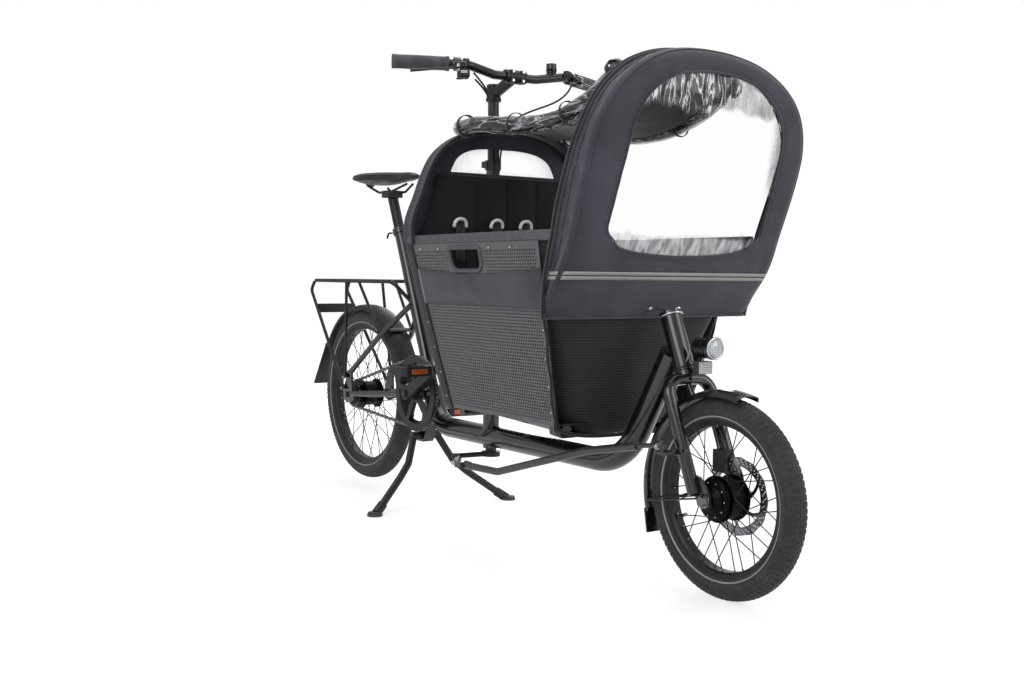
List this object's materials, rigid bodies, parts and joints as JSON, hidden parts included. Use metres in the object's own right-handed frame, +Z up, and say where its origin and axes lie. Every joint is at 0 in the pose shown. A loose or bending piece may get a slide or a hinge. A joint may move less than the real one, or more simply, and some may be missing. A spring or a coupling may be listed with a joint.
{
  "type": "cargo bike",
  "caption": "Front-loading cargo bike with a walled child box, fabric canopy with clear windows, linkage steering, hub motor, rack and two-legged stand.",
  "frame": {"origin": "on the ground, at the middle of the bounding box", "axes": "+X forward, +Y to the rider's left, +Z up"},
  "size_m": [2.0546, 0.6324, 1.178],
  "materials": {
    "frame_black": "gloss",
    "black_metal": "satin",
    "grey_metal": "satin",
    "panel_grey": "satin",
    "fabric_navy": "matt",
    "fabric_black": "matt",
    "foil": "gloss",
    "tyre": "matt",
    "rim": "satin",
    "steel": "brushed",
    "dark_steel": "brushed",
    "black_plastic": "matt",
    "saddle": "satin",
    "grip": "matt",
    "lamp": "gloss"
  },
  "bodies": {
    "frame": {"main_tube": "frame_black", "head_tube": "frame_black", "seat_tube": "frame_black", "seat_post": "black_metal", "saddle": "saddle", "chain_stays": "frame_black", "seat_stays": "frame_black", "rack_top": "black_metal", "rack_legs": "black_metal", "light_plate": "black_plastic", "rear_mudguard": "black_plastic", "box_frame": "frame_black", "frame_cables": "black_plastic", "box_floor": "black_plastic", "side_panels": "panel_grey", "side_bands": "fabric_navy", "top_rails": "grey_metal", "rear_wall": "fabric_black", "front_mesh": "fabric_black", "seat_back": "fabric_black", "seat_cushion": "fabric_black", "canopy_rear": "fabric_navy", "rear_window": "foil", "canopy_front": "fabric_navy", "front_window": "foil", "roof_strip": "fabric_black", "foil_roll_right": "foil", "foil_roll_left": "foil", "chain": "dark_steel"},
    "column": {"column": "black_metal", "steering_arm": "black_metal", "stem": "black_metal", "handlebar": "black_metal", "grips": "grip", "controls": "black_plastic", "bell": "black_plastic", "bar_cables": "black_plastic"},
    "rod_swivel": {"rod_swivel": "steel"},
    "tie_rod": {"tie_rod": "grey_metal"},
    "fork": {"fork": "frame_black", "front_mudguard": "black_plastic", "headlamp": "lamp", "caliper": "black_metal"},
    "front_wheel": {"front_tyre": "tyre", "front_rim": "rim", "front_spokes": "steel", "front_hub": "black_metal", "rotor": "steel"},
    "rear_wheel": {"rear_tyre": "tyre", "rear_rim": "rim", "rear_spokes": "steel", "rear_hub": "dark_steel"},
    "crank": {"chainring": "black_metal", "cranks": "black_metal"},
    "pedal_right": {"pedal_right": "black_plastic"},
    "pedal_left": {"pedal_left": "black_plastic"},
    "stand": {"stand": "grey_metal"}
  },
  "joints": [
    {"name": "column_steer", "type": "hinge", "parent": "frame", "child": "column", "pos_m": [-0.01925, 0, 0.5], "axis": [0, 0, 1], "range_deg": [-20, 20]},
    {"name": "fork_steer", "type": "hinge", "parent": "frame", "child": "fork", "pos_m": [0.70325, 0, 0.449], "axis": [-0.3746, 0, 0.9272], "range_deg": [-20.4, 20.4]},
    {"name": "swivel_turn", "type": "hinge", "parent": "column", "child": "rod_swivel", "pos_m": [-0.03125, -0.1, 0.181], "axis": [0, 0, 1], "range_deg": [-20, 20]},
    {"name": "rod_tilt", "type": "hinge", "parent": "rod_swivel", "child": "tie_rod", "pos_m": [-0.00325, -0.1, 0.164], "axis": [0, 1, 0], "range_deg": [-2, 2]},
    {"name": "front_wheel_spin", "type": "hinge", "parent": "fork", "child": "front_wheel", "pos_m": [0.82475, 0, 0.2025], "axis": [0, 1, 0], "continuous": true},
    {"name": "rear_wheel_spin", "type": "hinge", "parent": "frame", "child": "rear_wheel", "pos_m": [-0.69925, 0, 0.278], "axis": [0, 1, 0], "continuous": true},
    {"name": "crank_turn", "type": "hinge", "parent": "frame", "child": "crank", "pos_m": [-0.31025, 0, 0.316], "axis": [0, 1, 0], "continuous": true},
    {"name": "pedal_right_turn", "type": "hinge", "parent": "crank", "child": "pedal_right", "pos_m": [-0.15878, -0.086, 0.39318], "axis": [0, 1, 0], "continuous": true},
    {"name": "pedal_left_turn", "type": "hinge", "parent": "crank", "child": "pedal_left", "pos_m": [-0.46172, 0.086, 0.23882], "axis": [0, 1, 0], "continuous": true},
    {"name": "stand_fold", "type": "hinge", "parent": "frame", "child": "stand", "pos_m": [-0.35425, 0, 0.19], "axis": [0, 1, 0], "range_deg": [0, 110]}
  ],
  "couplings": [
    {"joint": "fork_steer", "follows": "column_steer", "ratio": 1.02},
    {"joint": "swivel_turn", "follows": "column_steer", "ratio": -1},
    {"joint": "rod_tilt", "follows": "column_steer", "ratio": -0.0525}
  ]
}
